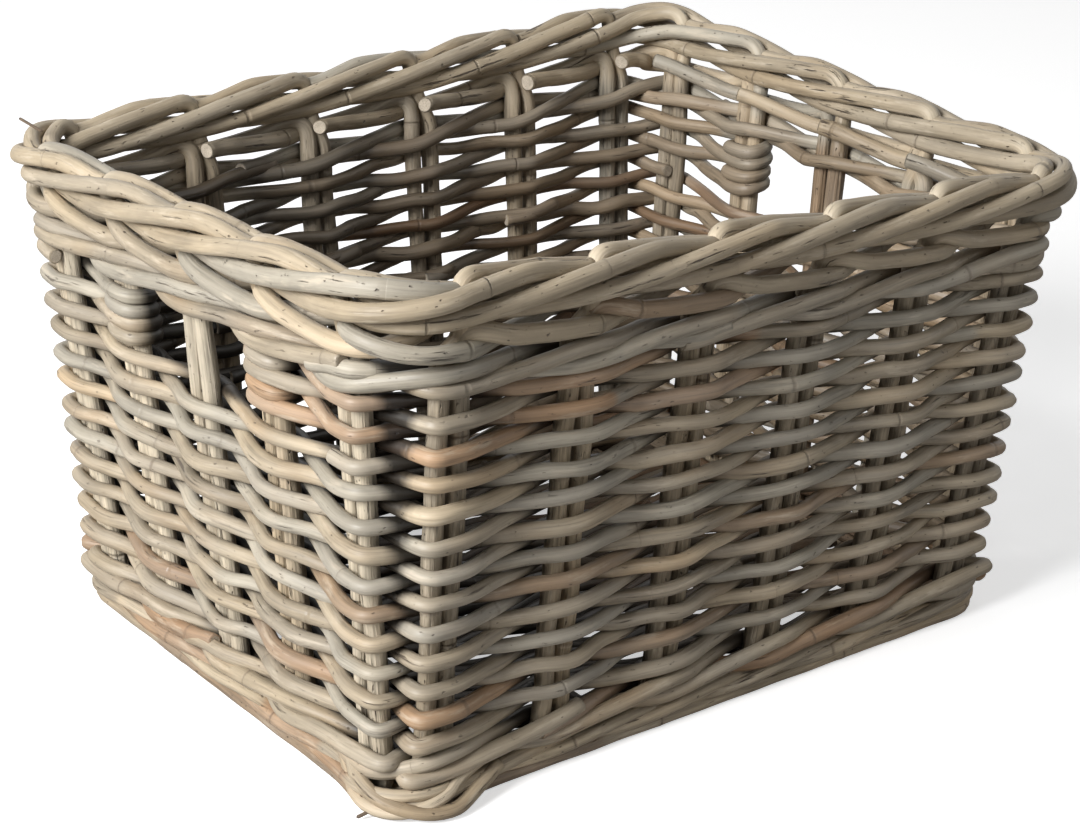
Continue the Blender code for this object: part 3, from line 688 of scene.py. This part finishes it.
# Some rows are warmer: a few near the top, and the lowest ones
def rowWeights(row):
    weights = dict(levelCaneTones)
    if row in weaving["warmRows"]:
        weights.update(orange=3.0, brown=2.5)
    if row < weaving["warmBelow"]:
        weights.update(orange=2.0, straw=2.5)
    return weights


# The rows that no hand hole cuts, with 2 to 4 canes each
def makeRows():
    for row in range(weaving["rowCount"]):
        if row in weaving["holeRows"]:
            continue
        strands = []
        for path in rowCanes(row, int(dice.integers(*weaving["canesPerRow"]))):
            tones = plainTone(path, rowWeights(row))
            radius = weaving["caneRadius"] * dice.uniform(*weaving["thickness"])
            strands.append(sweep(path, radius, zUp(path), tones))
        slot = weaving["rowFinishes"][row % len(weaving["rowFinishes"])]
        makePiece(f"weaver_row_{row + 1:02d}", strands, slot)
    print("rows made")


# Once and a half round a pair of rods: across one face, round the rod by the hole, back along the other face and on
def wrapPoints(near, far, face, reach, z, pitch):
    outward = near / np.linalg.norm(near)
    along = (near - far) / np.linalg.norm(near - far)
    outward = outward - outward @ along * along
    outward /= np.linalg.norm(outward)
    sideFace, sideRun = face * 0.72, reach * 0.72
    stations = (
        (far, face, 0.0, 0.0), (near, face, 0.0, 0.08), (near, sideFace, sideRun, 0.2),
        (near, -sideFace, sideRun, 0.35), (near, -face, 0.0, 0.45), (far, -face, 0.0, 0.55),
        (far, -sideFace, -sideRun, 0.65), (far, sideFace, -sideRun, 0.85), (far, face, 0.0, 0.95),
        (near, face, 0.0, 1.08), (near, sideFace, sideRun, 1.2), (near, -sideFace, sideRun, 1.35),
        (near, -face, 0.0, 1.45), (far, -face, 0.0, 1.5),
    )
    return np.array([
        [*(rod + out * outward + run * along), z + rise * pitch] for rod, out, run, rise in stations])


# The cane beside the hand holes: row after row, wound round the pair beside each hole
def makeWallWeaver(node, firstPair):
    span = longPairs + 2 * (shortPairs // 2)
    pairs = firstPair + np.arange(span)
    reach = weaving["rodRadius"] + weaving["caneRadius"]
    parts = []
    rows = weaving["holeRows"]
    pitch = rowHeight(1) - rowHeight(0)
    for number, row in enumerate(rows):
        z = rowHeight(row)
        sides = rowSides(row, pairs)
        place, side, height, rodPair = rodsAlong(pairs, np.full(2 * span, z), sides)
        light = (side < 0) & ~isCornerPair(rodPair)
        light[:2] = False
        light[-2:] = False
        corners = tautCorners(place, side, height, reach, False, light)
        forward = number % 2 == 0
        parts.append(corners[2:-2] if forward else corners[::-1][2:-2])
        if row != rows[-1]:
            near, far, face = (place[-1], place[-2], sides[-1]) if forward else (place[0], place[1], sides[0])
            parts.append(wrapPoints(near, far, face * reach, reach, z, pitch))
    path = smoothPath(np.vstack(parts), weaving["coilStep"], weaving["coilSpread"])
    path = settle(jitterPath(path, *weaving["coilWaver"]))
    tones = toneAlong(runOf(path), 0.5, {**levelCaneTones, "orange": 1.3, "brown": 1.5})
    strand = sweep(path, weaving["caneRadius"] * weaving["coilThickness"], zUp(path), tones)
    makePiece(node, [strand], "straw_cane")


waling = {
    "radius": 0.0037, "step": 0.0078, "lowerZ": 0.0170, "upperZ": 0.1972, "reachMore": 0.0006,
    "laps": 3,  # a cane passes outside two pairs, rising, and inside the third, so three laps lie side by side
    "spread": 0.006,
    "cuts": {  # where canes begin, counted in pairs
        "lower_wale": (4, 22, 37, 55),
        "upper_wale": (13, 28.7, 45.4, 60),
    },
    "overlapSteps": 5, "endLength": 0.012, "endDrop": 0.002,
    "waver": ((0.0003, 0.0003, 0.0004), 0.04, 0.4),
}


# One closed line of three laps: two pairs outside, low then high, then one inside where it comes down again
def waleLine(lowZ):
    highZ = lowZ + waling["step"]
    count = waling["laps"] * pairCount
    phase = np.arange(count) % 3
    low = np.array([lowZ, highZ - 0.0005, highZ - 0.0022])[phase]
    high = np.array([lowZ + 0.0005, highZ, lowZ + 0.0022])[phase]
    sides = np.where(phase == 2, -1, 1)
    place, side, height, _ = rodsAlong(np.arange(count), np.stack([low, high], -1), sides)
    reach = weaving["rodRadius"] + waling["radius"] + waling["reachMore"]
    corners = tautCorners(place, side, height, reach, True, np.zeros(2 * count, bool))
    return smoothPath(corners, weaving["step"], waling["spread"], closed=True)


# The whole line is cut into canes that overlap a little
def makeWales():
    count = waling["laps"] * pairCount
    overlap = waling["overlapSteps"]
    for name, lowZ in (("lower_wale", waling["lowerZ"]), ("upper_wale", waling["upperZ"])):
        line = waleLine(lowZ)
        starts = [int(cut / count * len(line)) for cut in waling["cuts"][name]]
        strands = []
        for start, stop in zip(starts, starts[1:] + [starts[0] + len(line)]):
            path = line[np.arange(start - overlap, stop + overlap) % len(line)]
            run = runOf(path)
            drop = waling["endDrop"] * nearEnds(run, waling["endLength"])
            path[:, 2] += np.where(run < run[-1] / 2, -drop, drop)
            tones = plainTone(path, levelCaneTones)
            bent = settle(jitterPath(path, *waling["waver"]))
            strands.append(sweep(bent, waling["radius"], zUp(bent), tones))
        for number in range(2):
            slot = "grey_cane" if number else "straw_cane"
            makePiece(f"{name}_{number + 1}", strands[number::2], slot)
    print("wales made")


# Stakes: points in travel, height and offset, joined and smoothed before they are bent round the wall

staking = {
    "radius": 0.0043, "tailRadius": 0.0040, "topZ": 0.2077, "footZ": 0.0074, "bendZ": 0.0047,
    "ropeOverhang": 0.005, "ropeRadius": 0.0083,
    "turnAngles": (98, 170, 243, 316, 388, 458),  # where a tail lies round the rope at its own pair and the next
    "leftSunk": 0.0016,  # how much lower the knees of the left end lie
    "swoopRadius": 0.0039, "swoopReach": 0.0085,
    "swoopSide": 0.33,  # the length of cane, from the swoop's end, that counts as the second rod
    "step": 0.0024, "spread": 0.0034, "sides": 26, "kneeRise": 0.008, "kneeSize": 0.009,
    # the shares of the painted inner shade that the stakes of the left end and the other stakes take
    "kneePale": 0.7, "leftShadeShare": 0.12, "shadeShare": 0.30,
}
tailPairs = len(staking["turnAngles"]) - 1


# The first rod: up through the rope, over as a knee, then once round with the other tails
def tailControls(pair):
    half = basket["rodSpacing"] / 2
    rim = rimHeight
    over = staking["ropeOverhang"]
    lay = staking["ropeRadius"]
    own = float(pairTravel(pair, rim))
    top = float(pairTravel(pair, staking["topZ"]))
    sunk = staking["leftSunk"] if pair in leftPairs else 0.0
    rise = np.array([
        [top - half, staking["topZ"], 0.0],
        [own - half + 0.0015, rim - 0.0170, 0.0022],
        [own - half + 0.0035, rim - 0.0080, 0.0046],
        [own + 0.0005, rim, 0.0050],
        [own + 0.0026, rim + 0.0056 - sunk, 0.0040],
        [own + 0.0064, rim + 0.0082 - sunk, 0.0030],
        [own + 0.0120, rim + 0.0083 - sunk, 0.0024],
    ])
    marks = np.arange(tailPairs + 1)
    u = np.linspace(0.30, tailPairs + dice.uniform(0.02, 0.14), 110)
    travel = np.interp(u, marks, pairTravel(pair + marks, rim))
    angle = np.interp(u, marks, np.radians(staking["turnAngles"]))
    bell = np.exp(-0.5 * (np.arange(-9, 10) / 4.5) ** 2)
    angle = np.convolve(np.pad(angle, 9, mode="reflect", reflect_type="odd"), bell / bell.sum(), "valid")
    reach = lay * (1 - 0.62 * np.clip((u - tailPairs + 0.5) / 0.4, 0, 1))
    turn = np.stack([travel, rim + reach * np.sin(angle), over + reach * np.cos(angle)], -1)
    return np.vstack([rise, turn])


# The second rod: up, over the outside of the next pair and in behind the one after
def swoopControls(pair):
    half = basket["rodSpacing"] / 2
    reach = staking["swoopReach"]
    top = staking["topZ"]
    first, second, third = pairTravel(pair + np.arange(3), top)
    route = np.array([
        [first + half, 0.0, 0.0],
        [first + half + 0.0002, 0.0070, 0.0002],
        [first + half + 0.0016, 0.0122, 0.0024],
        [first + half + 0.0060, 0.0142, 0.0062],
        [first + half + 0.0130, 0.0124, reach + 0.0002],
        [first + half + 0.0220, 0.0092, reach + 0.0005],
        [second - half * 3.0, 0.0070, reach + 0.0004],
        [second - half, 0.0064, reach],
        [second + half, 0.0060, reach - 0.0002],
        [second + half + 0.0080, 0.0058, 0.0054],
        [second + half + 0.0180, 0.0068, 0.0010],
        [third - half - 0.0150, 0.0092, -0.0030],
        [third - half - 0.0060, 0.0112, -0.0066],
        [third - 0.0005, 0.0124, -0.0088],
        [third + half + 0.0010, 0.0134, -0.0122],
    ])
    route[:, 1] += top
    return route


# A thin dark fibre that stands off along a path
def strayFibre(path, radius):
    return sweep(path, radius, zUp(path), plainTone(path, {"dark": 1}), sides=8)


stakeTones = {"grey": 4, "coolGrey": 1.5, "beige": 4, "straw": 1.5, "brown": 1.0, "orange": 0.2}
leftStakeTones = {"pale": 8, "straw": 1}
borderTones = {"grey": 4, "coolGrey": 1.5, "beige": 5, "straw": 1, "brown": 0.6}


# Each pair is one cane: down from the border as the first rod, under the wall, and up again as the second
def makeStakes():
    half = basket["rodSpacing"] / 2
    for pair in range(pairCount):
        tail = tailControls(pair)
        swoop = swoopControls(pair)
        foot = float(pairTravel(pair, staking["footZ"]))
        bend = np.array([
            [foot - half, staking["footZ"], 0.0],
            [foot - half * 0.6, staking["bendZ"], 0.0],
            [foot + half * 0.6, staking["bendZ"], 0.0],
            [foot + half, staking["footZ"], 0.0],
        ])
        line = np.vstack([tail[::-1], bend, swoop])
        flat = smoothPath(line, staking["step"], staking["spread"])
        run = runOf(flat)
        flat[:, 0] += 0.0006 * waver(run, 0.05, 0.3)
        travel, height, offset = flat.T
        path = settle(wallPoint(travel, height, offset))
        isTail = np.clip((height - staking["topZ"]) / 0.02, 0, 1)
        beyond = run > run[-1] - staking["swoopSide"]
        endRadius = np.where(beyond, staking["swoopRadius"], staking["tailRadius"])
        radius = staking["radius"] + (endRadius - staking["radius"]) * isTail
        stakeTone = pickColours(1, leftStakeTones if pair in leftPairs else stakeTones)
        endTone = np.where(beyond[:, None], pickColours(1, borderTones), pickColours(1, borderTones))
        inBorder = np.clip((height - staking["topZ"] + 0.004) / 0.008, 0, 1)
        tones = stakeTone + (endTone - stakeTone) * inBorder[:, None]
        own = float(pairTravel(pair, rimHeight))
        kneeGap = np.hypot(travel - own, height - rimHeight - staking["kneeRise"])
        knee = staking["kneePale"] * np.exp(-(kneeGap / staking["kneeSize"]) ** 2)[:, None]
        tones = tones * (1 - knee) + toLinear(caneColours["pale"]) * knee
        # each stake takes a share of the painted inner shade, less at the left end
        strands = [sweep(
            path, radius, wallNormal(travel, height), tones, sides=staking["sides"],
            ridges=0.002 + 0.022 * (1 - inBorder), peel=1 - 0.55 * inBorder,
            shadeShare=staking["leftShadeShare"] if pair in leftPairs else staking["shadeShare"])]
        if pair == leftPairs[0]:
            share = np.linspace(0, 1, 14)[:, None]
            fibre = np.array([-0.1895, 0.1440, 0.2400]) + share * (-0.0080, 0.0055, 0.0060)
            strands.append(strayFibre(fibre, 0.0008))
        makePiece(f"stake_pair_{pair + 1:02d}", strands, "stake_cane")
    print("stakes and border made")


footing = {
    "edge": {"radius": 0.0034, "reach": 0.0064, "z": 0.0036},  # the cane at the very bottom
    # two canes wound round each other
    "twine": {"radius": 0.0031, "reach": 0.0074, "z": 0.0096, "lay": 0.0017, "turns": 11},
    "step": 0.0026,
    "cornerPull": 0.0055,  # how far the foot stands out at the near corner, and over what length
    "cornerLength": 0.02, "stretch": 0.12,
    "tones": {"beige": 4, "straw": 2, "orange": 2.2, "pale": 1, "grey": 2, "brown": 0.7},
}


# Two short canes that cross under the near corner, from a list of travel, offset and height, and a stray fibre
def cornerLoops(z):
    left, right = (float(pairTravel(pair, z)) for pair in nearPairs)
    middle = (left + right) / 2
    routes = (
        ((left - 0.016, 0.0060, 0.0150), (left - 0.004, 0.0100, 0.0100), (left + 0.005, 0.0150, 0.0045),
         (middle, 0.0172, 0.0036), (right - 0.004, 0.0150, 0.0075), (right + 0.006, 0.0105, 0.0130),
         (right + 0.020, 0.0085, 0.0175)),
        ((left - 0.008, 0.0080, 0.0200), (left + 0.003, 0.0125, 0.0135), (middle - 0.002, 0.0168, 0.0085),
         (right - 0.005, 0.0188, 0.0040), (right + 0.003, 0.0178, 0.0036), (right + 0.014, 0.0140, 0.0070),
         (right + 0.030, 0.0090, 0.0120)),
    )
    strands = []
    for route in routes:
        travel, offset, height = smoothPath(route, 0.002, 0.0035).T
        path = wallPoint(travel, z, offset)
        path[:, 2] = height
        tones = plainTone(path, {"straw": 1, "beige": 1})
        strands.append(sweep(path, footing["twine"]["radius"], zUp(path), tones))
    share = np.linspace(0, 1, 14)
    fibre = wallPoint(left + 0.008 - 0.002 * share, z, 0.0155 + 0.006 * share)
    fibre[:, 2] = 0.0042 - 0.0022 * share
    strands.append(strayFibre(fibre, 0.0009))
    return strands


# A cane level under the wall at a reach from it, and two canes that wind round each other just above
def makeFoot():
    z = basket["footHeight"] / 2
    whole = float(pairTravel(pairCount, z) - pairTravel(0, z))
    travel = np.arange(0, whole, footing["step"])
    nearCorner = float(sum(pairTravel(pair, z) for pair in nearPairs)) / 2
    pull = footing["cornerPull"] * np.exp(-((travel - nearCorner) / footing["cornerLength"]) ** 2)
    edge, twine = footing["edge"], footing["twine"]
    phase = travel / whole * 2 * math.pi * twine["turns"]
    lines = [(edge["radius"], edge["reach"] + 0 * phase, edge["z"] + 0 * phase)]
    for turned in (0, math.pi):
        reach = twine["reach"] + twine["lay"] * np.cos(phase + turned)
        lines.append((twine["radius"], reach, twine["z"] + twine["lay"] * np.sin(phase + turned)))
    for node, sign in (("foot_ring_outer", 1), ("foot_ring_inner", -1)):
        strands = []
        for radius, reach, height in lines:
            offset = sign * (reach + (pull if sign > 0 else 0))
            path = np.column_stack([wallPoint(travel, z, offset)[:, :2], height])
            tones = toneAlong(runOf(path), footing["stretch"], footing["tones"])
            tones[-12:] = tones[:1]
            strands.append(sweep(path, radius, zUp(path), tones, closed=True))
        if sign > 0:
            strands.extend(cornerLoops(z))
        makePiece(node, strands, "foot_cane")
    print("foot made")


flooring = {
    "stickRadius": 0.0027, "stickZ": 0.0110, "caneRadius": 0.0031, "passes": 17,
    "sideGap": 0.0063,  # from the weave's box to the middle of its outermost cane
    "endGap": 0.006, "wave": 0.0056,
}


# Each stick stands half way between two stake pairs of the long side
def stickX(number):
    firstPair = shortPairs // 2 + 1 + number
    z = flooring["stickZ"]
    travels = (pairTravel(firstPair, z) + pairTravel(firstPair + 1, z)) / 2
    return float(wallPoint(travels, z, 0)[0])


# The base: sticks across, and a double cane laid to and fro over one stick and under the next
def makeBase():
    sticks = np.array([stickX(n) for n in range(longPairs - 1)])
    for number in range(len(sticks)):
        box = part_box(f"base_stick_{number + 1}")
        middle = (box[0][0] + box[1][0]) / 2
        y = np.arange(box[0][1], box[1][1], 0.003)
        path = np.column_stack([np.full(len(y), middle), y, np.full(len(y), flooring["stickZ"])])
        stick = sweep(path, flooring["stickRadius"], zUp(path), plainTone(path, stakeTones))
        makePiece(f"base_stick_{number + 1}", [stick], "stake_cane")
    low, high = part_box("base_weave")
    passes = flooring["passes"]
    pitch = (high[1] - low[1] - 2 * flooring["sideGap"]) / (passes - 1)
    order = np.sort(sticks)
    x = np.linspace(low[0] + flooring["endGap"], high[0] - flooring["endGap"], 90)
    wave = flooring["wave"] * np.cos(math.pi * (x - order[0]) / (order[1] - order[0]))
    strands = []
    for strandNumber in range(2):
        parts = []
        shift = (strandNumber - 0.5) * 2 * flooring["caneRadius"]
        for number in range(passes):
            forward = number % 2 == 0
            sign = 1 if forward else -1
            y = low[1] + flooring["sideGap"] + number * pitch + sign * shift
            part = np.column_stack([x, np.full(len(x), y), flooring["stickZ"] + sign * wave])
            parts.append(part if forward else part[::-1])
        path = smoothPath(np.vstack(parts), 0.004, 0.003)
        tones = toneAlong(runOf(path), 0.7, levelCaneTones)
        strands.append(sweep(path, flooring["caneRadius"], zUp(path), tones))
    makePiece("base_weave", strands, "grey_cane")
    print("base made")


makeRows()
makeWallWeaver("back_wall_weaver", 1)
makeWallWeaver("front_wall_weaver", 1 + pairCount // 2)
makeWales()
makeStakes()
makeFoot()
makeBase()


# Camera

view = {
    "azimuth": 37.75, "elevation": 22.42, "roll": 1.30,
    "focal": 2565.43,  # in pixels of a picture this wide
    "pictureWidth": 1080, "distance": 1.22, "target": (-0.02738, -0.03656, 0.1170),
}


def makeCamera():
    az, el, roll = (math.radians(view[key]) for key in ("azimuth", "elevation", "roll"))
    ahead = Vector((math.sin(az) * math.cos(el), math.cos(az) * math.cos(el), -math.sin(el)))
    right = Vector((math.cos(az), -math.sin(az), 0.0))
    up = right.cross(ahead)
    right, up = math.cos(roll) * right + math.sin(roll) * up, math.cos(roll) * up - math.sin(roll) * right
    data = bpy.data.cameras.new("camera")
    data.sensor_width = 36.0
    data.lens = view["focal"] / view["pictureWidth"] * data.sensor_width
    camera = addObject("camera", data)
    place = Vector(view["target"]) - ahead * view["distance"]
    turn = Matrix((right, up, -ahead)).transposed().to_4x4()
    camera.matrix_world = Matrix.Translation(place) @ turn
    bpy.context.scene.camera = camera


# Light and floor

lamps = {
    "key": {"place": (-1.95, -0.20, 1.22), "size": 1.1, "power": 79.0},
    "fill": {"place": (0.3, -2.1, 1.3), "size": 1.8, "power": 6.0},
    "back": {"place": (0.6, 1.7, 1.5), "size": 1.6, "power": 3.0},
}
lampTarget = (0, 0, 0.1)
worldLight = 0.115
floorLook = {"size": 6.0, "bounce": (0.40, 0.39, 0.38, 1), "seen": (0.90, 0.90, 0.90, 1), "glow": 0.55}


def makeLamp(name, look):
    data = bpy.data.lights.new(name, "AREA")
    data.shape = "DISK"
    data.size = look["size"]
    data.energy = look["power"]
    lamp = addObject(name, data)
    place = Vector(look["place"])
    turn = (Vector(lampTarget) - place).to_track_quat("-Z", "Y").to_matrix().to_4x4()
    lamp.matrix_world = Matrix.Translation(place) @ turn


# White wherever the camera or a reflection sees it, and a dim even light otherwise
def makeWorld():
    world = bpy.data.worlds.new("studio")
    bpy.context.scene.world = world
    world.use_nodes = True
    tree = world.node_tree
    background = tree.nodes["Background"]
    background.inputs["Color"].default_value = (1, 1, 1, 1)
    light = tree.nodes.new("ShaderNodeLightPath")
    seen = mathNode(tree, "MAXIMUM", light.outputs["Is Camera Ray"], light.outputs["Is Glossy Ray"])
    seen = mathNode(tree, "MAXIMUM", seen, light.outputs["Is Transmission Ray"])
    strength = mathNode(tree, "ADD", mathNode(tree, "MULTIPLY", seen, 1 - worldLight), worldLight)
    link(tree, strength, background.inputs["Strength"])


# A pale floor that the camera sees white but for the shadow, and that throws less light back
def makeFloor():
    size = floorLook["size"]
    mesh = bpy.data.meshes.new("floor")
    mesh.from_pydata([(-size, -size, 0), (size, -size, 0), (size, size, 0), (-size, size, 0)], [], [(0, 1, 2, 3)])
    floor = addObject("floor", mesh)
    material, tree, shader = newMaterial("floor")
    shader.inputs["Roughness"].default_value = 0.9
    light = tree.nodes.new("ShaderNodeLightPath")
    seen = light.outputs["Is Camera Ray"]
    link(tree, mixNode(tree, "MIX", seen, floorLook["bounce"], floorLook["seen"]), shader.inputs["Base Color"])
    shader.inputs["Emission Color"].default_value = (1, 1, 1, 1)
    link(tree, mathNode(tree, "MULTIPLY", seen, floorLook["glow"]), shader.inputs["Emission Strength"])
    mesh.materials.append(material)


makeCamera()
for lampName, lampLook in lamps.items():
    makeLamp(lampName, lampLook)
makeWorld()
makeFloor()
bpy.context.scene.view_settings.view_transform = "Standard"
print("camera, lights and floor made")
